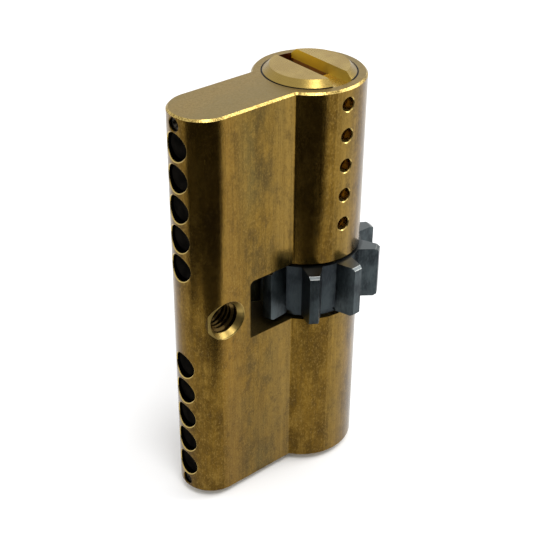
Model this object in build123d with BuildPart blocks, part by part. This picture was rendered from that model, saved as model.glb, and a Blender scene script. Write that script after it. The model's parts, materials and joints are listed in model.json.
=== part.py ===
from build123d import *
import os

os.makedirs("parts", exist_ok=True)

# Double profile cylinder for a door lock, in millimetres.
# The barrel axis is Z with the origin at mid length, in the middle of the cam slot.
# The leg points to -X. The outer half is above the slot (+Z), the inner half below it (-Z).
# The inner half is the outer half turned half a turn about X.

# housing
body_length = 66.0
barrel_r = 8.5
leg_width = 10.0
leg_end_x = -19.5
junction_fillet = 0.6
end_chamfer = 0.3
hole_rim = 0.12
half_length = body_length / 2

# slot for the cam
slot_half = 5.05
slot_back_x = -15.2
slot_corner_r = 0.8

# fixing screw hole, M5 through the leg
screw_r = 2.5
screw_mouth_r = 3.1
screw_mouth_step = 0.2
screw_mouth_depth = 1.0

# plugs
bore_r = 6.53
plug_r = 6.48
collar_bore_r = 7.05
collar_r = 6.97
collar_depth = 1.2
land_r = 5.9
land_height = 1.0
neck_r = 5.5
neck_end = 2.95
groove_r = 4.9
face_slot_width = 3.7
face_slot_floor = half_length - 0.65
keyway_t = 3.5
keyway_far_x = 2.15
keyway_closed_y = -1.6

# pin chambers, along -X
pin_count = 5
pin_first = 8.75
pin_pitch = 4.85
chamber_r = 1.7
nose_hole_r = 1.15
nose_step_r = 2.9
cap_bore_r = 2.15
cap_seat = 21.2
cap_length = 2.4
pin_r = 1.65
nose_r = 1.1
nose_length = 3.4
key_cuts = [0.2, 0.8, 0.4, 1.0, 0.6]
stack_length = 10.6
spring_wire_r = 0.2
spring_mean_r = 1.3
spring_turns = 9

# side pins, along -Y in the outer half
side_first = 11.1
side_hole_r = 1.08
side_pin_r = 1.03
side_step = 3.2
side_nose_r = 0.7
side_travel = 0.5

# hardened pins in the leg ends
end_pin_z = 31.55
end_pin_r = 0.98
end_pin_hole_r = 1.0

# gear cam
gear_teeth = 10
gear_tip_r = 11.85
gear_root_r = 8.8
gear_tip_half_angle = 3.1
gear_root_half_angle = 10.1
gear_first_angle = 19.9
gear_top = 4.65
gear_bottom = -4.0
gear_web_bottom = -3.35
gear_bevel_radial = 0.5
gear_bevel_axial = 0.35
gear_shoulder_r = 8.0
gear_bore_r = 5.6
ring_recess_r = 7.2
ring_recess_floor = 4.0
lug_r = 4.0
lug_half = 0.5
lug_opening = 4.7

# clutch between the plugs
clutch_core_r = 3.9
dog_width = 4.4
dog_r = 5.5
tongue_x = 3.9
tongue_y = 7.6
tongue_top = 4.2
clutch_pocket_x = 4.0
clutch_pocket_y = 8.0
clutch_pocket_top = 6.6
clutch_offset = 2.3
clutch_spring_pocket_r = 1.9
clutch_spring_pocket = 1.4

# retaining rings
ring_inner_r = 4.95
ring_outer_r = 7.0
ring_low = 4.15
ring_high = 4.95
ring_gap = 5.0

MIN = (Align.CENTER, Align.CENTER, Align.MIN)
halves = (1, -1)
pin_heights = [pin_first + pin_pitch * i for i in range(pin_count)]
side_heights = [side_first + pin_pitch * i for i in range(pin_count)]


def along_leg(reach, z):
    """A place at the given distance from the barrel axis, its own Z towards -X."""
    return Location((-reach, 0, z), (0, -90, 0))


def along_side(reach, z, half=1):
    """A place at the given distance from the barrel axis, its own Z towards -Y (outer half)."""
    return Location((0, -half * reach, half * z), (half * 90, 0, 0))


def save(piece, label):
    piece.part.label = label
    export_step(piece.part, f"parts/{label}.step")


def save_both(piece, name):
    """The piece as built for the outer half, and turned about X for the inner half."""
    save(piece, name.format("outer"))
    with BuildPart() as turned:
        add(piece.part.rotate(Axis.X, 180))
    save(turned, name.format("inner"))


# ---------------------------------------------------------------- housing
with BuildPart() as body:
    with BuildSketch(Plane.XY.offset(-half_length)) as outline:
        Circle(barrel_r)
        with Locations((leg_end_x / 2, 0)):
            Rectangle(-leg_end_x, leg_width)
        with Locations((leg_end_x, 0)):
            Circle(leg_width / 2)
        inside = outline.vertices().filter_by(lambda v: -barrel_r < v.X < -4 and abs(v.Y) > 4.5)
        fillet(inside, radius=junction_fillet)
    extrude(amount=body_length)
    chamfer(body.faces().sort_by(Axis.Z)[-1].edges(), length=end_chamfer)
    chamfer(body.faces().sort_by(Axis.Z)[0].edges(), length=end_chamfer)

    # cam slot, cut through the whole barrel and into the leg
    with BuildSketch(Plane.XZ.offset(-20)) as slot:
        with Locations(((slot_back_x + 12) / 2, 0)):
            Rectangle(12 - slot_back_x, 2 * slot_half)
        corner = slot.vertices().filter_by(lambda v: v.X < 0 and v.Y > 0)
        fillet(corner, radius=slot_corner_r)
    extrude(amount=40, mode=Mode.SUBTRACT)

    # plug bores with a counterbore for the collar
    for half in halves:
        with Locations(Location((0, 0, 0), (0 if half > 0 else 180, 0, 0))):
            Cylinder(bore_r, half_length + 1, align=MIN, mode=Mode.SUBTRACT)
        collar_floor = half * (half_length - collar_depth)
        with Locations(Location((0, 0, collar_floor), (0 if half > 0 else 180, 0, 0))):
            Cylinder(collar_bore_r, 3, align=MIN, mode=Mode.SUBTRACT)

    # pin chambers, each closed by a wider cap bore at the leg end
    for half in halves:
        for z in pin_heights:
            with Locations(along_leg(5.5, half * z)):
                Cylinder(chamber_r, 17, align=MIN, mode=Mode.SUBTRACT)
            with Locations(along_leg(cap_seat, half * z)):
                Cylinder(cap_bore_r, 5, align=MIN, mode=Mode.SUBTRACT)

    # side pin holes through the barrel wall
    for half in halves:
        for z in side_heights:
            with Locations(along_side(5.5, z, half)):
                Cylinder(side_hole_r, 4, align=MIN, mode=Mode.SUBTRACT)

    # holes of the hardened pins
    for half in halves:
        with Locations(along_leg(8.5, half * end_pin_z)):
            Cylinder(end_pin_hole_r, 18, align=MIN, mode=Mode.SUBTRACT)

    # fixing screw hole with its stepped and tapered mouths
    with Locations(Location((leg_end_x, 0, 0), (90, 0, 0))):
        Cylinder(screw_r, 2 * leg_width, mode=Mode.SUBTRACT)
    for turn in (90, -90):
        side_y = -leg_width / 2 if turn > 0 else leg_width / 2
        with Locations(Location((leg_end_x, side_y, 0), (turn, 0, 0))):
            with Locations((0, 0, -screw_mouth_step)):
                Cylinder(screw_mouth_r, 2, align=MIN, mode=Mode.SUBTRACT)
            taper = screw_mouth_depth - screw_mouth_step
            with Locations((0, 0, -screw_mouth_depth)):
                Cone(screw_r, screw_mouth_r, taper, align=MIN, mode=Mode.SUBTRACT)

    # broken rims round the holes in the barrel and the leg end
    curved = body.edges().filter_by(lambda e: e.geom_type not in (GeomType.LINE, GeomType.CIRCLE))
    side_rims = curved.filter_by(lambda e: abs(e.center().Y) > 7.2 and abs(e.center().X) < 1.5)
    leg_rims = curved.filter_by(lambda e: e.center().X < -22.8)
    chamfer(side_rims + leg_rims, length=hole_rim)
    round_edges = body.edges().filter_by(GeomType.CIRCLE)
    screw_rims = round_edges.filter_by(lambda e: abs(e.radius - screw_mouth_r) < 0.01)
    chamfer(screw_rims.filter_by(lambda e: abs(e.center().Y) > leg_width / 2 - 0.01), length=hole_rim)
save(body, "body")


# ---------------------------------------------------------------- plugs
with BuildPart() as plug:
    # turned outline: neck with its ring groove, barrel, collar and bevelled land
    with BuildSketch(Plane.XZ):
        with BuildLine():
            Polyline(
                (0, neck_end),
                (neck_r, neck_end),
                (neck_r, ring_low - 0.05),
                (groove_r, ring_low - 0.05),
                (groove_r, ring_high + 0.02),
                (plug_r, ring_high + 0.02),
                (plug_r, half_length - collar_depth + 0.05),
                (collar_r, half_length - collar_depth + 0.05),
                (collar_r, half_length),
                (land_r, half_length + land_height),
                (0, half_length + land_height),
                close=True,
            )
        make_face()
    revolve(axis=Axis.Z)

    # slot across the face, its +X wall flush with the keyway's
    with Locations((keyway_far_x - face_slot_width / 2, 0, face_slot_floor)):
        Box(face_slot_width, 20, 3, align=MIN, mode=Mode.SUBTRACT)

    # keyway, open through the +Y side, and the pocket its key tip reaches
    with Locations((keyway_far_x - keyway_t / 2, (8 + keyway_closed_y) / 2, neck_end - 1)):
        Box(keyway_t, 8 - keyway_closed_y, half_length, align=MIN, mode=Mode.SUBTRACT)
    pocket_depth = clutch_pocket_top - neck_end + 1
    with Locations((0, 0, neck_end - 1)):
        Box(clutch_pocket_x, clutch_pocket_y, pocket_depth, align=MIN, mode=Mode.SUBTRACT)

    # stepped holes of the key pins and of the side pins
    for z in pin_heights:
        with Locations(along_leg(nose_step_r, z)):
            Cylinder(chamber_r, 5, align=MIN, mode=Mode.SUBTRACT)
        with Locations(along_leg(1, z)):
            Cylinder(nose_hole_r, 3, align=MIN, mode=Mode.SUBTRACT)
    for z in side_heights:
        with Locations(along_side(side_step, z)):
            Cylinder(side_hole_r, 5, align=MIN, mode=Mode.SUBTRACT)
        with Locations(along_side(1, z)):
            Cylinder(side_nose_r + 0.05, 3, align=MIN, mode=Mode.SUBTRACT)
save_both(plug, "plug_{}")


# ---------------------------------------------------------------- gear cam
with BuildPart() as gear_cam:
    with BuildSketch(Plane.XY.offset(gear_web_bottom)):
        Circle(gear_root_r)
    extrude(amount=gear_top - gear_web_bottom)

    # teeth, standing a little lower than the web between them
    with BuildSketch(Plane.XY.offset(gear_bottom)):
        for i in range(gear_teeth):
            turn = gear_first_angle + i * 360 / gear_teeth
            with BuildLine():
                Polyline(
                    Vector(gear_shoulder_r - 0.1, 0).rotate(Axis.Z, turn - gear_root_half_angle),
                    Vector(gear_root_r, 0).rotate(Axis.Z, turn - gear_root_half_angle),
                    Vector(gear_tip_r + 0.2, 0).rotate(Axis.Z, turn - gear_tip_half_angle),
                    Vector(gear_tip_r + 0.2, 0).rotate(Axis.Z, turn + gear_tip_half_angle),
                    Vector(gear_root_r, 0).rotate(Axis.Z, turn + gear_root_half_angle),
                    Vector(gear_shoulder_r - 0.1, 0).rotate(Axis.Z, turn + gear_root_half_angle),
                    close=True,
                )
            make_face()
    extrude(amount=gear_top - gear_bottom)

    # tooth tips turned round, with bevelled end edges
    with BuildSketch(Plane.XZ):
        with BuildLine():
            Polyline(
                (0, gear_bottom),
                (gear_tip_r - gear_bevel_radial, gear_bottom),
                (gear_tip_r, gear_bottom + gear_bevel_axial),
                (gear_tip_r, gear_top - gear_bevel_axial),
                (gear_tip_r - gear_bevel_radial, gear_top),
                (0, gear_top),
                close=True,
            )
        make_face()
    revolve(axis=Axis.Z, mode=Mode.INTERSECT)

    # shoulder under the teeth, bore, and a recess for a retaining ring at each end
    with Locations((0, 0, -gear_top)):
        Cylinder(gear_shoulder_r, gear_top + gear_web_bottom + 0.5, align=MIN)
    Cylinder(gear_bore_r, 20, mode=Mode.SUBTRACT)
    with Locations((0, 0, ring_recess_floor), Location((0, 0, -ring_recess_floor), (180, 0, 0))):
        Cylinder(ring_recess_r, 3, align=MIN, mode=Mode.SUBTRACT)

    # two lugs in the bore that the clutch dogs drive
    with BuildSketch(Plane.XY.offset(-lug_half)):
        Circle(gear_bore_r + 0.5)
        Circle(lug_r, mode=Mode.SUBTRACT)
        Rectangle(lug_opening, 20, mode=Mode.SUBTRACT)
    extrude(amount=2 * lug_half)
save(gear_cam, "gear_cam")


# ---------------------------------------------------------------- clutch
with BuildPart() as clutch:
    # dog plate
    with BuildSketch(Plane.XY.offset(-lug_half)):
        Rectangle(dog_width, 2 * dog_r)
        Circle(dog_r, mode=Mode.INTERSECT)
        Circle(clutch_core_r)
    extrude(amount=2 * lug_half)
    # tongue that slides in the pocket at the plug's end
    Box(tongue_x, tongue_y, tongue_top, align=MIN)
    # pocket for the spring
    with Locations((0, 0, -lug_half)):
        Cylinder(clutch_spring_pocket_r, clutch_spring_pocket, align=MIN, mode=Mode.SUBTRACT)
save(clutch, "clutch_outer")

with BuildPart() as clutch_inner:
    add(clutch.part.rotate(Axis.X, 180).translate((0, 0, -clutch_offset)))
save(clutch_inner, "clutch_inner")


# ---------------------------------------------------------------- retaining rings
with BuildPart() as retaining_ring:
    with BuildSketch(Plane.XY.offset(ring_low)):
        Circle(ring_outer_r)
        Circle(ring_inner_r, mode=Mode.SUBTRACT)
        with Locations((ring_outer_r, 0)):
            Rectangle(ring_outer_r * 2 - ring_inner_r, ring_gap, mode=Mode.SUBTRACT)
    extrude(amount=ring_high - ring_low)
save_both(retaining_ring, "retaining_ring_{}")


# ---------------------------------------------------------------- pin stacks
def coil_spring(length, turns, mean_r, wire_r):
    """A coil standing on its own Z from 0 to length, the wire's outside included."""
    rise = length - 2 * wire_r
    with BuildPart() as coil:
        with BuildLine() as path:
            Helix(pitch=rise / turns, height=rise, radius=mean_r)
        with BuildSketch(Plane(origin=path.line @ 0, z_dir=path.line % 0)):
            Circle(wire_r)
        sweep(is_frenet=True)
    return coil.part.translate((0, 0, wire_r))


for number, (z, cut) in enumerate(zip(pin_heights, key_cuts), start=1):
    shoulder = cut + nose_length
    driver_start = plug_r + 0.08
    driver_end = driver_start + stack_length - (plug_r - cut)
    tail = 1.5

    # key pin: domed at the shear line, stepped to a nose with a coned tip in the keyway
    with BuildPart() as key_pin:
        with Locations(along_leg(shoulder, z)):
            Cylinder(pin_r, plug_r - shoulder + 0.5, align=MIN)
        with BuildSketch(Plane.XY.offset(z - 3)):
            Circle(plug_r - 0.05)
        extrude(amount=6, mode=Mode.INTERSECT)
        with Locations(along_leg(cut + 0.6, z)):
            Cylinder(nose_r, nose_length - 0.6, align=MIN)
        with Locations(along_leg(cut, z)):
            Cone(0.5, nose_r, 0.6, align=MIN)
    save_both(key_pin, "key_pin_{}_" + str(number))

    # driver pin: chamfered at the shear line, with a tail inside its spring
    with BuildPart() as driver_pin:
        with Locations(along_leg(driver_start, z)):
            Cylinder(pin_r, driver_end - driver_start, align=MIN)
        chamfer(driver_pin.edges().filter_by(GeomType.CIRCLE), length=0.2)
        with Locations(along_leg(driver_end - 0.1, z)):
            Cylinder(0.85, tail + 0.1, align=MIN)
    save_both(driver_pin, "driver_pin_{}_" + str(number))

    # driver spring, from the driver's shoulder to the cap
    with BuildPart() as driver_spring:
        coil = coil_spring(cap_seat - driver_end - 0.04, spring_turns, spring_mean_r, spring_wire_r)
        add(along_leg(driver_end + 0.02, z) * coil)
    save_both(driver_spring, "driver_spring_{}_" + str(number))

for number, z in enumerate(side_heights, start=1):
    shoulder = side_step + side_travel + 0.05

    # side pin: domed at the shear line, stepped to a nose at the keyway's closed edge
    with BuildPart() as side_pin:
        with Locations(along_side(shoulder, z)):
            Cylinder(side_pin_r, plug_r - shoulder + 0.5, align=MIN)
        with BuildSketch(Plane.XY.offset(z - 3)):
            Circle(plug_r - 0.05)
        extrude(amount=6, mode=Mode.INTERSECT)
        with Locations(along_side(-keyway_closed_y + 0.5, z)):
            Cylinder(side_nose_r, shoulder + keyway_closed_y - 0.5, align=MIN)
        with Locations(along_side(-keyway_closed_y + 0.1, z)):
            Cone(0.4, side_nose_r, 0.4, align=MIN)
    save_both(side_pin, "side_pin_{}_" + str(number))


# ---------------------------------------------------------------- chamber caps
with BuildPart() as chamber_caps:
    for z in pin_heights:
        with Locations(along_leg(cap_seat, z)):
            Cylinder(cap_bore_r - 0.01, cap_length, align=MIN)
    chamfer(chamber_caps.edges().filter_by(GeomType.CIRCLE).group_by(Axis.X)[0], length=0.25)
save_both(chamber_caps, "chamber_caps_{}")


# ---------------------------------------------------------------- hardened end pins
with BuildPart() as end_pin:
    with Locations(along_leg(9.0, end_pin_z)):
        Cylinder(end_pin_r, 15.0, align=MIN)
    with Locations(along_leg(23.4, end_pin_z)):
        Cone(0.2, 0.6, 0.6, align=MIN, mode=Mode.SUBTRACT)
save_both(end_pin, "end_pin_{}")


# ---------------------------------------------------------------- clutch spring
with BuildPart() as clutch_spring:
    spring_length = clutch_offset + 2 * (clutch_spring_pocket - lug_half) - 0.04
    coil = coil_spring(spring_length, 5, 1.5, 0.18)
    add(coil.translate((0, 0, clutch_spring_pocket - lug_half - 0.02 - spring_length)))
save(clutch_spring, "clutch_spring")
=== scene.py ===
import json
import math

import bpy
import numpy as np
from mathutils import Matrix, Vector


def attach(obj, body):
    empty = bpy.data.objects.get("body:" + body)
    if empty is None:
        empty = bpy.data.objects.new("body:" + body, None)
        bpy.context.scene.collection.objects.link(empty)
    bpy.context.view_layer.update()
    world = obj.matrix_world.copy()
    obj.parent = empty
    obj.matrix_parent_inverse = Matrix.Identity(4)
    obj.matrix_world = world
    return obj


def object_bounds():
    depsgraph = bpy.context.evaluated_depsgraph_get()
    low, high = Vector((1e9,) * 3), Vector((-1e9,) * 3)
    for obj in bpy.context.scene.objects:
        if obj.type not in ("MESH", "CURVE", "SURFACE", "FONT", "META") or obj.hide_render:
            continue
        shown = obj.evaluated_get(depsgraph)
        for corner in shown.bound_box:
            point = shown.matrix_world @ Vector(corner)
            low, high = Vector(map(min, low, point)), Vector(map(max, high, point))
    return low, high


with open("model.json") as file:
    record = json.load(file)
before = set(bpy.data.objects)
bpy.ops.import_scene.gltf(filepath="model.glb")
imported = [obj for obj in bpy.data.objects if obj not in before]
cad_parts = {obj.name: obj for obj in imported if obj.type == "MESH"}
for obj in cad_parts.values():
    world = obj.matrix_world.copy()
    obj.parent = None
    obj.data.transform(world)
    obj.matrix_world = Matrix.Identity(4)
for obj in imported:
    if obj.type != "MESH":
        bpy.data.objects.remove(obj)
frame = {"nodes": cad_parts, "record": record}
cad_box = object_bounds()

MM = 0.001
scene = bpy.context.scene

# Measures of the lock that its finishes follow. Heights start at the middle of the cam slot, and the inner
# half is the outer half turned about X, so a finish reads heights without their sign.
end_face = 33.0 * MM
collar_seat = 31.75 * MM
collar_radius = 6.97 * MM
plug_radius = 6.48 * MM
land_radius = 5.9 * MM
face_slot_x = 0.3 * MM
face_slot_half = 1.95 * MM
face_slot_floor = 32.35 * MM
pin_pitch = 4.85 * MM
first_chamber = 8.75 * MM
chamber_radius = 2.15 * MM
first_side_hole = 11.1 * MM
side_hole_radius = 1.08 * MM
leg_centre_x = -19.5 * MM
fixing_mouth_radius = 3.255 * MM
fixing_taper_depth = 4.0 * MM
gear_root_radius = 8.8 * MM
gear_bevel_radius = 11.35 * MM
gear_bevel_foot = 4.30 * MM
gear_top = 4.65 * MM

# near black painted shade, for the pin chambers, the gap round each plug and the plug collar's edge
painted_shade = (0.008, 0.006, 0.004)


# ---------------------------------------------------------------- small helpers for shader graphs
class Graph:
    """A material's node tree, built from left to right.

    place, x, y, z are the place on the piece, and nx, ny, nz the face's normal, both in the piece's own
    frame, so a pattern stays on its piece when a joint turns it.
    """

    def __init__(self, name):
        self.mat = bpy.data.materials.new(name)
        self.mat.use_nodes = True
        self.tree = self.mat.node_tree
        self.tree.nodes.clear()
        out = self.add("ShaderNodeOutputMaterial")
        self.metal = self.add("ShaderNodeBsdfPrincipled")
        self.link(self.metal.outputs[0], out.inputs["Surface"])
        self.place = self.add("ShaderNodeTexCoord").outputs["Object"]
        split = self.add("ShaderNodeSeparateXYZ")
        self.link(self.place, split.inputs[0])
        self.x, self.y, self.z = split.outputs
        turned = self.add(
            "ShaderNodeVectorTransform", vector_type="NORMAL", convert_from="WORLD", convert_to="OBJECT"
        )
        self.link(self.add("ShaderNodeNewGeometry").outputs["True Normal"], turned.inputs[0])
        face = self.add("ShaderNodeSeparateXYZ")
        self.link(turned.outputs[0], face.inputs[0])
        self.nx, self.ny, self.nz = face.outputs

    def add(self, kind, **props):
        node = self.tree.nodes.new(kind)
        for key, value in props.items():
            setattr(node, key, value)
        return node

    def link(self, a, b):
        self.tree.links.new(a, b)

    def put(self, value, socket):
        """Link a socket, or set a number, or set a colour given as red, green and blue."""
        if isinstance(value, bpy.types.NodeSocket):
            self.link(value, socket)
        elif isinstance(value, tuple):
            socket.default_value = (*value, 1.0)
        else:
            socket.default_value = value

    def math(self, kind, a, b=0.0):
        node = self.add("ShaderNodeMath", operation=kind)
        self.put(a, node.inputs[0])
        self.put(b, node.inputs[1])
        return node.outputs[0]

    def size(self, value):
        return self.math("ABSOLUTE", value)

    def both(self, first, *others):
        """Product of masks: what all of them cover."""
        for other in others:
            first = self.math("MULTIPLY", first, other)
        return first

    def either(self, a, b):
        return self.math("MAXIMUM", a, b)

    def outside(self, mask):
        """What a mask leaves uncovered."""
        return self.math("SUBTRACT", 1.0, mask)

    def ramp(self, value, low, high, to_low=0.0, to_high=1.0):
        """Smooth step of value from low..high onto to_low..to_high."""
        node = self.add("ShaderNodeMapRange", interpolation_type="SMOOTHSTEP")
        self.put(value, node.inputs["Value"])
        node.inputs["From Min"].default_value = low
        node.inputs["From Max"].default_value = high
        node.inputs["To Min"].default_value = to_low
        node.inputs["To Max"].default_value = to_high
        return node.outputs[0]

    def past(self, value, level, blur):
        """One where value is above level, fading over blur on each side of it."""
        return self.ramp(value, level - blur, level + blur)

    def short_of(self, value, level, blur):
        """One where value is below level, fading over blur on each side of it."""
        return self.ramp(value, level + blur, level - blur)

    def noise(self, scale, stretch=(1, 1, 1), detail=3.0, rough=0.55):
        """Noise with scale features per metre; a stretch under one draws it out along that axis."""
        mapping = self.add("ShaderNodeMapping")
        self.link(self.place, mapping.inputs["Vector"])
        mapping.inputs["Scale"].default_value = stretch
        node = self.add("ShaderNodeTexNoise")
        self.link(mapping.outputs[0], node.inputs["Vector"])
        node.inputs["Scale"].default_value = scale
        node.inputs["Detail"].default_value = detail
        node.inputs["Roughness"].default_value = rough
        return node.outputs["Fac"]

    def mix(self, factor, a, b):
        node = self.add("ShaderNodeMix", data_type="RGBA")
        self.put(factor, node.inputs[0])
        self.put(a, node.inputs[6])
        self.put(b, node.inputs[7])
        return node.outputs[2]

    def radius(self, a, b, centre_a=0.0):
        """Distance from a line along the third axis, in metres."""
        across = self.math("SUBTRACT", a, centre_a)
        total = self.math("ADD", self.math("MULTIPLY", across, across), self.math("MULTIPLY", b, b))
        return self.math("SQRT", total)

    def off_face_slot(self):
        """Distance from the middle plane of the slot in the plug's face."""
        return self.size(self.math("SUBTRACT", self.x, face_slot_x))

    def away_from_side_pins(self):
        """Y counted away from the side pins' flank, which is -Y above the cam slot and +Y below it."""
        return self.math("MULTIPLY", self.y, self.math("SIGN", self.z))

    def bump(self, height, strength, distance):
        node = self.add("ShaderNodeBump")
        self.link(height, node.inputs["Height"])
        node.inputs["Strength"].default_value = strength
        node.inputs["Distance"].default_value = distance
        self.link(node.outputs[0], self.metal.inputs["Normal"])

    def finish(self, colour, roughness, metallic=1.0):
        self.put(colour, self.metal.inputs["Base Color"])
        self.put(roughness, self.metal.inputs["Roughness"])
        self.metal.inputs["Metallic"].default_value = metallic
        return self.mat


# ---------------------------------------------------------------- finishes
def housing_brass():
    """Extruded brass, tarnished on its flanks with long draw streaks, fresh where it has been cut."""
    olive_shade, olive_light = (0.082, 0.053, 0.014), (0.180, 0.105, 0.017)
    olive_green, barrel_side_gold = (0.130, 0.092, 0.026), (0.27, 0.168, 0.038)
    leg_end_orange = (0.240, 0.128, 0.020)
    orange_shade, orange_light = (0.085, 0.047, 0.007), (0.150, 0.084, 0.012)
    blotch_light, blotch_dark = (0.225, 0.135, 0.026), (0.060, 0.037, 0.012)
    speckle_light, speckle_dark = (0.270, 0.168, 0.034), (0.060, 0.040, 0.012)
    streak_dark = (0.070, 0.041, 0.010)
    grain_light, grain_dark = (0.30, 0.195, 0.055), (0.055, 0.034, 0.010)
    cut_shade, cut_light, cut_dull = (0.250, 0.170, 0.050), (0.340, 0.240, 0.078), (0.235, 0.180, 0.068)
    bare_brass = (0.60, 0.44, 0.14)
    oily_thread = (0.115, 0.074, 0.026)
    slot_end_brown = (0.22, 0.10, 0.03)

    g = Graph("housing brass, tarnished and cut")
    cloud = g.noise(190, (1.0, 1.0, 0.45), 5.0, 0.62)
    drift = g.noise(70, (1.4, 1.4, 0.5), 3.0, 0.5)
    streak = g.noise(2300, (1.0, 1.0, 0.045), 3.0, 0.65)
    blotch = g.noise(420, (1.0, 1.0, 0.6), 4.0, 0.65)
    speckle = g.noise(1500, (1.0, 1.0, 0.7), 3.0, 0.7)
    grain = g.noise(4600, (1.0, 1.0, 0.55), 3.0, 0.65)
    up = g.size(g.nz)
    flat = g.ramp(g.size(g.ny), 0.96, 0.999)
    height = g.size(g.z)
    depth = g.size(g.y)

    # tarnish: olive on the flats, going gold beside the barrel and orange beside the leg's round end
    olive = g.mix(g.ramp(cloud, 0.38, 0.58), olive_shade, olive_light)
    olive = g.mix(g.ramp(drift, 0.42, 0.62), olive, olive_green)
    beside_barrel = g.ramp(g.x, -13.0 * MM, -8.5 * MM, 0.0, 0.6)
    olive = g.mix(beside_barrel, olive, barrel_side_gold)
    beside_leg_end = g.ramp(g.x, -14.5 * MM, -19.0 * MM, 0.0, 0.6)
    olive = g.mix(beside_leg_end, olive, leg_end_orange)

    # orange brown where the bar is round, then blotches, specks, draw streaks and grain over both
    orange = g.mix(g.ramp(cloud, 0.36, 0.60), orange_shade, orange_light)
    tarnish = g.mix(flat, orange, olive)
    tarnish = g.mix(g.ramp(blotch, 0.48, 0.66, 0.0, 0.55), tarnish, blotch_light)
    tarnish = g.mix(g.ramp(blotch, 0.32, 0.46, 0.5, 0.0), tarnish, blotch_dark)
    tarnish = g.mix(g.ramp(speckle, 0.50, 0.66, 0.0, 0.26), tarnish, speckle_light)
    tarnish = g.mix(g.ramp(speckle, 0.34, 0.48, 0.26, 0.0), tarnish, speckle_dark)
    tarnish = g.mix(g.ramp(streak, 0.36, 0.70, 0.0, 0.35), tarnish, streak_dark)
    tarnish = g.mix(g.ramp(grain, 0.52, 0.72, 0.0, 0.45), tarnish, grain_light)
    tarnish = g.mix(g.ramp(grain, 0.32, 0.46, 0.35, 0.0), tarnish, grain_dark)

    # cut end faces: paler, fine milled grain
    cut_grain = g.noise(3400, (1.0, 1.0, 1.0), 3.0, 0.7)
    cut = g.mix(g.ramp(cut_grain, 0.3, 0.72), cut_shade, cut_light)
    cut = g.mix(g.ramp(drift, 0.40, 0.62, 0.0, 0.5), cut, cut_dull)
    end = g.ramp(up, 0.93, 0.985)
    colour = g.mix(end, tarnish, cut)

    # bevels along the end faces: bare metal, rubbed unevenly
    sloping = g.both(g.ramp(up, 0.5, 0.62), g.ramp(up, 0.92, 0.82))
    bevel = g.both(sloping, g.past(height, end_face - 0.36 * MM, 0.04 * MM))
    bevel = g.both(bevel, g.ramp(grain, 0.34, 0.62, 0.2, 1.0), g.ramp(blotch, 0.36, 0.60, 0.5, 1.0))

    # the fixing hole: a bare tapered mouth, and oil on the thread inside it
    in_fixing_hole = g.short_of(g.radius(g.x, g.z, leg_centre_x), fixing_mouth_radius, 0.015 * MM)
    mouth = g.both(in_fixing_hole, g.past(depth, fixing_taper_depth, 0.05 * MM), g.outside(flat))
    thread = g.both(in_fixing_hole, g.short_of(depth, fixing_taper_depth, 0.05 * MM))

    def rims(across, first, radius):
        """Rings round a row of holes that repeat along the bar, with the first at that height."""
        steps = g.math("DIVIDE", g.math("SUBTRACT", height, first - pin_pitch / 2), pin_pitch)
        along = g.math("MULTIPLY", g.math("SUBTRACT", g.math("FRACT", steps), 0.5), pin_pitch)
        ring = g.radius(across, along)
        return g.both(
            g.past(ring, radius - 0.025 * MM, 0.025 * MM),
            g.short_of(ring, radius + 0.125 * MM, 0.025 * MM),
        )

    # broken rims of the pin chambers and of the side pin holes
    leg_end = g.short_of(g.x, leg_centre_x - 1.75 * MM, 0.25 * MM)
    chamber_row = g.both(
        leg_end,
        g.past(height, first_chamber - pin_pitch / 2, 0.025 * MM),
        g.short_of(height, first_chamber + 4.5 * pin_pitch - 0.025 * MM, 0.05 * MM),
    )
    side_pins_flank = g.short_of(g.away_from_side_pins(), -7.1 * MM, 0.1 * MM)
    side_row = g.both(
        side_pins_flank,
        g.past(height, first_side_hole - 1.65 * MM, 0.05 * MM),
        g.short_of(height, end_face + 0.15 * MM, 0.05 * MM),
    )
    rim = g.either(
        g.both(rims(g.y, first_chamber, chamber_radius), chamber_row),
        g.both(rims(g.x, first_side_hole, side_hole_radius), side_row),
    )
    bare = g.either(g.either(bevel, g.both(rim, 0.8)), g.both(mouth, 0.5))
    colour = g.mix(bare, colour, bare_brass)
    colour = g.mix(g.both(thread, 0.8), colour, oily_thread)

    # painted shade, near black, in the pin chambers and in the gap round each plug, brown where the face slot
    # meets the bore
    chamber = g.both(
        g.short_of(g.x, leg_centre_x - 1.05 * MM, 0.05 * MM),
        g.short_of(depth, chamber_radius + 0.125 * MM, 0.025 * MM),
        g.short_of(g.radius(g.x, g.y, leg_centre_x), 4.76 * MM, 0.04 * MM),
        g.short_of(height, end_face - 0.2 * MM, 0.1 * MM),
    )
    gap = g.both(
        g.short_of(g.radius(g.x, g.y), collar_radius + 0.17 * MM, 0.03 * MM),
        g.past(height, collar_seat, 0.05 * MM),
    )
    across_slot = g.short_of(g.off_face_slot(), face_slot_half + 0.15 * MM, 0.2 * MM)
    near_end = g.ramp(g.away_from_side_pins(), 0.0, -1.0 * MM)
    far_end = g.ramp(g.away_from_side_pins(), 0.0, 1.0 * MM)
    gap = g.both(gap, g.outside(g.both(across_slot, near_end)))
    colour = g.mix(g.either(chamber, gap), colour, painted_shade)
    colour = g.mix(g.both(gap, across_slot, far_end), colour, slot_end_brown)

    rough = g.math("ADD", g.ramp(streak, 0.2, 0.8, 0.17, 0.28), g.both(end, 0.16))
    rough = g.math("ADD", rough, g.both(g.either(mouth, bevel), 0.14))
    relief = g.math("ADD", g.both(streak, 0.5), g.both(grain, 0.5))
    relief = g.math("ADD", relief, g.both(speckle, 0.8))
    g.bump(relief, 0.40, 0.04 * MM)
    return g.finish(colour, rough)


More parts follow.
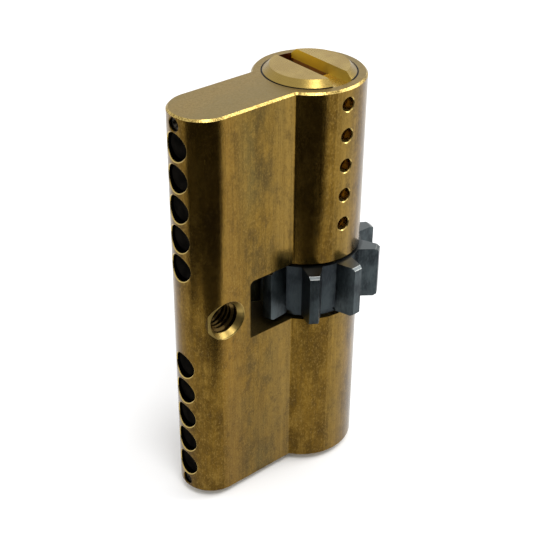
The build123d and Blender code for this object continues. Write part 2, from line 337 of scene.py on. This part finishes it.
def plug_brass():
    """Turned brass: fine rings round the barrel axis on the land and its bevel, a milled olive slot."""
    brass_shade, brass_light, ring_dark = (0.38, 0.255, 0.060), (0.48, 0.34, 0.090), (0.30, 0.20, 0.050)
    bevel_brown = (0.28, 0.195, 0.055)
    wall_gold, wall_olive = (0.86, 0.60, 0.055), (0.46, 0.36, 0.080)
    slot_floor_gold = (0.78, 0.60, 0.24)
    keyway_brown = (0.42, 0.20, 0.055)

    g = Graph("plug brass, turned")
    axis = g.radius(g.x, g.y)
    height = g.size(g.z)
    rings = g.add("ShaderNodeTexNoise", noise_dimensions="1D")
    rings_per_metre = 9000.0
    g.link(g.math("MULTIPLY", axis, rings_per_metre), rings.inputs["W"])
    rings.inputs["Scale"].default_value = 1.0
    rings.inputs["Detail"].default_value = 2.0
    cloud = g.noise(260, (1, 1, 1), 3.0)
    grain = g.noise(4200, (1, 1, 1), 2.0)
    colour = g.mix(g.ramp(cloud, 0.35, 0.65), brass_shade, brass_light)
    colour = g.mix(g.ramp(rings.outputs["Fac"], 0.35, 0.7, 0.0, 0.4), colour, ring_dark)

    # the land's bevel, a little browner than the land
    tilt = g.size(g.nz)
    bevel = g.both(g.short_of(tilt, 0.85, 0.05), g.past(axis, land_radius - 0.025 * MM, 0.025 * MM))
    colour = g.mix(g.both(bevel, 0.75), colour, bevel_brown)

    # slot: walls that go from gold to olive along it, a pale floor, and the brown keyway below the floor
    in_slot = g.short_of(g.off_face_slot(), face_slot_half, 0.05 * MM)
    wall = g.both(
        g.past(g.size(g.nx), 0.935, 0.035),
        in_slot,
        g.past(height, face_slot_floor - 0.075 * MM, 0.025 * MM),
    )
    wall_tone = g.mix(g.ramp(g.away_from_side_pins(), -4.5 * MM, 1.5 * MM), wall_olive, wall_gold)
    colour = g.mix(wall, colour, wall_tone)
    floor = g.both(g.short_of(height, face_slot_floor + 0.075 * MM, 0.025 * MM), g.past(tilt, 0.935, 0.035))
    colour = g.mix(floor, colour, slot_floor_gold)
    keyway = g.both(
        g.short_of(height, face_slot_floor - 0.05 * MM, 0.02 * MM),
        g.outside(floor),
        in_slot,
        g.short_of(axis, plug_radius - 0.05 * MM, 0.03 * MM),
    )
    colour = g.mix(keyway, colour, keyway_brown)

    # painted shade and dirt on the collar's edge, near black where it sits in the gap round the plug
    edge = g.both(
        g.past(axis, collar_radius - 0.09 * MM, 0.02 * MM),
        g.short_of(height, end_face + 0.075 * MM, 0.025 * MM),
    )
    colour = g.mix(edge, colour, painted_shade)
    rough = g.math("ADD", g.ramp(grain, 0.3, 0.7, 0.22, 0.32), g.both(g.either(wall, keyway), 0.35))
    g.bump(rings.outputs["Fac"], 0.2, 0.02 * MM)
    return g.finish(colour, rough)


def blackened_steel():
    """Black oxide over milled steel: blue grey, with painted light on its top faces, painted shade at the
    roots, and painted highlights on the tooth bevels and along their edges.
    """
    oxide_dark, oxide_blue, grain_grey = (0.022, 0.027, 0.030), (0.064, 0.080, 0.085), (0.10, 0.115, 0.12)
    top_face_painted_light, root_painted_shade = (0.150, 0.165, 0.168), (0.012, 0.014, 0.017)
    bevel_painted_highlight, painted_highlight_grey = (0.12, 0.13, 0.13), (0.27, 0.28, 0.27)

    g = Graph("gear steel, black oxide")
    cloud = g.noise(420, (1, 1, 0.6), 4.0)
    grain = g.noise(5000, (1, 1, 0.25), 3.0)
    axis = g.radius(g.x, g.y)
    tilt = g.size(g.nz)
    colour = g.mix(g.ramp(cloud, 0.35, 0.68), oxide_dark, oxide_blue)
    colour = g.mix(g.ramp(grain, 0.40, 0.8, 0.0, 0.35), colour, grain_grey)
    # painted light: faces turned up are lighter grey
    colour = g.mix(g.ramp(g.nz, 0.9, 0.97, 0.0, 0.8), colour, top_face_painted_light)
    # painted shade: darker towards the roots between the teeth
    colour = g.mix(g.ramp(axis, gear_root_radius + 0.4 * MM, gear_root_radius, 0.0, 0.45), colour, root_painted_shade)
    # painted highlight: the tooth bevels a lighter grey
    bevel = g.both(
        g.past(axis, gear_bevel_radius - 0.15 * MM, 0.1 * MM),
        g.past(tilt, 0.5, 0.1),
        g.short_of(tilt, 0.935, 0.035),
    )
    colour = g.mix(g.both(bevel, 0.7), colour, bevel_painted_highlight)

    # painted highlight lines along the upper and lower edge of each bevel at the teeth's upper ends
    fade = 0.02 * MM
    upper_line = g.both(
        g.past(axis, gear_bevel_radius - 0.06 * MM, fade),
        g.short_of(axis, gear_bevel_radius + 0.06 * MM, fade),
        g.past(g.z, gear_top - 0.14 * MM, fade / 2),
    )
    lower_line = g.both(
        g.past(g.z, gear_bevel_foot - 0.06 * MM, fade),
        g.short_of(g.z, gear_bevel_foot + 0.05 * MM, fade),
        g.past(axis, gear_bevel_radius + 0.37 * MM, fade),
    )
    painted_highlight = g.both(g.either(upper_line, lower_line), g.ramp(grain, 0.35, 0.6, 0.3, 1.0))
    colour = g.mix(painted_highlight, colour, painted_highlight_grey)
    g.bump(grain, 0.25, 0.02 * MM)
    return g.finish(colour, g.ramp(cloud, 0.3, 0.7, 0.30, 0.42))


def steel(name, dark, light, smoothest, roughest, metallic=1.0, shine=0.5):
    """Plain steel with drawn streaks between two tones. Blacking on it is not metallic and has no shine; on
    the chamber caps it is near black as painted shade of the deep chambers.
    """
    g = Graph(name)
    cloud = g.noise(500, (1, 1, 1), 3.0)
    grain = g.noise(4000, (0.3, 1, 1), 3.0)
    colour = g.mix(g.ramp(cloud, 0.3, 0.7), dark, light)
    g.bump(grain, 0.15, 0.01 * MM)
    g.metal.inputs["Specular IOR Level"].default_value = shine
    return g.finish(colour, g.ramp(grain, 0.3, 0.7, smoothest, roughest), metallic)


def pin_brass():
    """Small turned brass pins, clean and a little clouded."""
    g = Graph("pin brass, turned")
    cloud = g.noise(700, (1, 1, 1), 3.0)
    grain = g.noise(5000, (1, 1, 1), 2.0)
    colour = g.mix(g.ramp(cloud, 0.35, 0.65), (0.30, 0.21, 0.075), (0.42, 0.30, 0.12))
    return g.finish(colour, g.ramp(grain, 0.3, 0.7, 0.25, 0.38))


def plain(name, shade):
    """One even grey, matt, for the stage."""
    g = Graph(name)
    return g.finish((shade, shade, shade), 0.6, 0.0)


# dark and light tone of each steel
sintered = (0.20, 0.20, 0.19), (0.32, 0.32, 0.31)
ground = (0.42, 0.42, 0.42), (0.56, 0.56, 0.56)
drawn = (0.36, 0.36, 0.37), (0.52, 0.52, 0.53)
hardened = (0.020, 0.017, 0.014), (0.060, 0.052, 0.042)
# chamber caps: blackened steel, made near black and without shine as painted shade of the deep chambers they
# close
blackened_and_shaded = (0.0026, 0.0024, 0.0021), (0.0066, 0.0058, 0.0048)
finishes = {
    "housing_brass": housing_brass(),
    "plug_brass": plug_brass(),
    "pin_brass": pin_brass(),
    "blackened_steel": blackened_steel(),
    "clutch_steel": steel("clutch steel, sintered", *sintered, 0.35, 0.5),
    "pin_steel": steel("driver steel, ground", *ground, 0.2, 0.32),
    "spring_steel": steel("spring steel, drawn", *drawn, 0.22, 0.35),
    "hardened_steel": steel("hardened steel pin", *hardened, 0.25, 0.4),
    "cap_black": steel("chamber cap, blackened, darkened as painted shade", *blackened_and_shaded, 0.3, 0.45, metallic=0.0, shine=0.0),
}
slots = {row["node"]: row["material_slot"] for row in frame["record"]["subparts"]}
for node in frame["nodes"]:
    bpy.data.objects[node].data.materials.clear()
    bpy.data.objects[node].data.materials.append(finishes[slots[node]])


# ---------------------------------------------------------------- new meshes: the thread in the fixing hole
def grid_mesh(name, points, material, closed=False):
    """A mesh through a grid of points, rows by columns, as one sheet of quads.

    Point (i, j) is joined to (i + 1, j) and (i, j + 1). A closed one joins its last column to its first and
    has a face over each end row.
    """
    rows, columns = points.shape[:2]
    i, j = np.meshgrid(np.arange(rows - 1), np.arange(columns - (0 if closed else 1)), indexing="ij")
    k = (j + 1) % columns
    quads = [i * columns + j, i * columns + k, (i + 1) * columns + k, (i + 1) * columns + j]
    faces = np.stack(quads, axis=-1).reshape(-1, 4).tolist()
    if closed:
        first = list(range(columns))
        faces += [first[::-1], [(rows - 1) * columns + c for c in first]]
    mesh = bpy.data.meshes.new(name)
    mesh.from_pydata(points.reshape(-1, 3).tolist(), [], faces)
    mesh.update()
    mesh.materials.append(material)
    obj = bpy.data.objects.new(name, mesh)
    scene.collection.objects.link(obj)
    return obj


def thread_ridge(x, z, major, minor, pitch, start, end):
    """Points of a thread's ridge: a 60 degree tooth, flat at its crest, along a helix about the line (x, z).

    At angle a the tooth stands at y = start + pitch * a / 2 pi, and its height fades to nothing over the
    first and last half turn. Across the tooth the radius goes major, minor, minor, major, with its feet sunk
    a little into the wall. All measures are in millimetres.
    """
    steps_per_turn = 64
    foot_half, crest_half = 0.44 * pitch, 0.10 * pitch
    sunk, lowest, overrun = 0.03, 0.02, 0.2
    turns = (end - start) / pitch
    a = np.linspace(0.0, 2 * np.pi * turns, int(turns * steps_per_turn) + 1)[:, None]
    fade = np.clip(np.minimum(a, a[-1] - a) / np.pi, lowest, 1.0)
    across = np.array([foot_half, crest_half, -crest_half, -foot_half])[None, :]
    depth = np.array([-sunk, 1.0, 1.0, -sunk])[None, :] * (major - minor)
    r = major - depth * fade
    y = np.clip(start + pitch * a / (2 * np.pi) + across, start - overrun, end + overrun)
    return np.stack([x + r * np.cos(a), y, z + r * np.sin(a)], axis=-1) * MM


ridge = thread_ridge(x=-19.5, z=0.0, major=2.5, minor=2.08, pitch=0.8, start=-3.75, end=3.75)
thread = grid_mesh("screw_thread", ridge, finishes["housing_brass"], closed=True)
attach(thread, "housing")

# ---------------------------------------------------------------- floor and white room
floor_drop = 0.05
floor_reach = 2500
floor_z = cad_box[0][2] / MM - floor_drop
floor_corners = [[(x, y, floor_z) for x in (-floor_reach, floor_reach)] for y in (-floor_reach, floor_reach)]
stage_floor = grid_mesh("floor", np.array(floor_corners) * MM, plain("floor, pale", 0.93))

world = bpy.data.worlds.new("studio")
scene.world = world
world.use_nodes = True
world.node_tree.nodes["Background"].inputs[0].default_value = (1.0, 1.0, 1.0, 1.0)
world.node_tree.nodes["Background"].inputs[1].default_value = 1.0

# ---------------------------------------------------------------- lights and the dark card
light_target = Vector((-8, 0, 0))


def softbox(name, azimuth, elevation, distance, wide, high, watts):
    """An area light on a sphere round the target, facing it; azimuth from +X, in degrees, sizes in mm."""
    a, e = math.radians(azimuth), math.radians(elevation)
    way = Vector((math.cos(a) * math.cos(e), math.sin(a) * math.cos(e), math.sin(e)))
    lamp = bpy.data.lights.new(name, "AREA")
    lamp.shape = "RECTANGLE"
    lamp.size, lamp.size_y = wide * MM, high * MM
    lamp.energy = watts
    obj = bpy.data.objects.new(name, lamp)
    obj.location = (light_target + way * distance) * MM
    obj.rotation_euler = way.to_track_quat("Z", "Y").to_euler()
    scene.collection.objects.link(obj)


softbox("front softbox", azimuth=252, elevation=62, distance=420, wide=130, high=110, watts=0.6)
softbox("side softbox", azimuth=335, elevation=40, distance=460, wide=200, high=240, watts=0.8)

# a card that shows in reflections only, standing before the -Y flank, with a foot that rises to the right
card_top = 70
card_foot = [
    (-75, 2, -31),
    (-75, -36, -33),
    (-30, -36, -33.5),
    (-21, -36, -28),
    (-14, -36, -15),
    (-6, -36, -1),
]
card_points = np.array([card_foot, [(x, y, card_top) for x, y, z in card_foot]]) * MM
dark_card = grid_mesh("dark card, front", card_points, plain("card, black", 0.07))
dark_card.visible_camera = False
dark_card.visible_diffuse = False
dark_card.visible_shadow = False
dark_card.visible_transmission = False

# ---------------------------------------------------------------- camera
eye = Vector((-106.8006, -118.0971, 99.0629)) * MM
heading, elevation, roll = math.radians(-40.1433), math.radians(32.2553), math.radians(0.4652)
lens, sensor_width = 78.111, 36.0
nearest = 1 * MM
back = Vector((
    math.sin(heading) * math.cos(elevation),
    -math.cos(heading) * math.cos(elevation),
    math.sin(elevation),
))
level_right = (-back).cross(Vector((0, 0, 1))).normalized()
level_up = level_right.cross(-back)
right = level_right * math.cos(roll) + level_up * math.sin(roll)
up = level_up * math.cos(roll) - level_right * math.sin(roll)
camera = bpy.data.objects.new("camera", bpy.data.cameras.new("camera"))
camera.matrix_world = Matrix((
    (right.x, up.x, back.x, eye.x),
    (right.y, up.y, back.y, eye.y),
    (right.z, up.z, back.z, eye.z),
    (0, 0, 0, 1),
))
camera.data.sensor_width = sensor_width
camera.data.lens = lens
camera.data.clip_start = nearest
scene.collection.objects.link(camera)
scene.camera = camera
scene.view_settings.view_transform = "Standard"
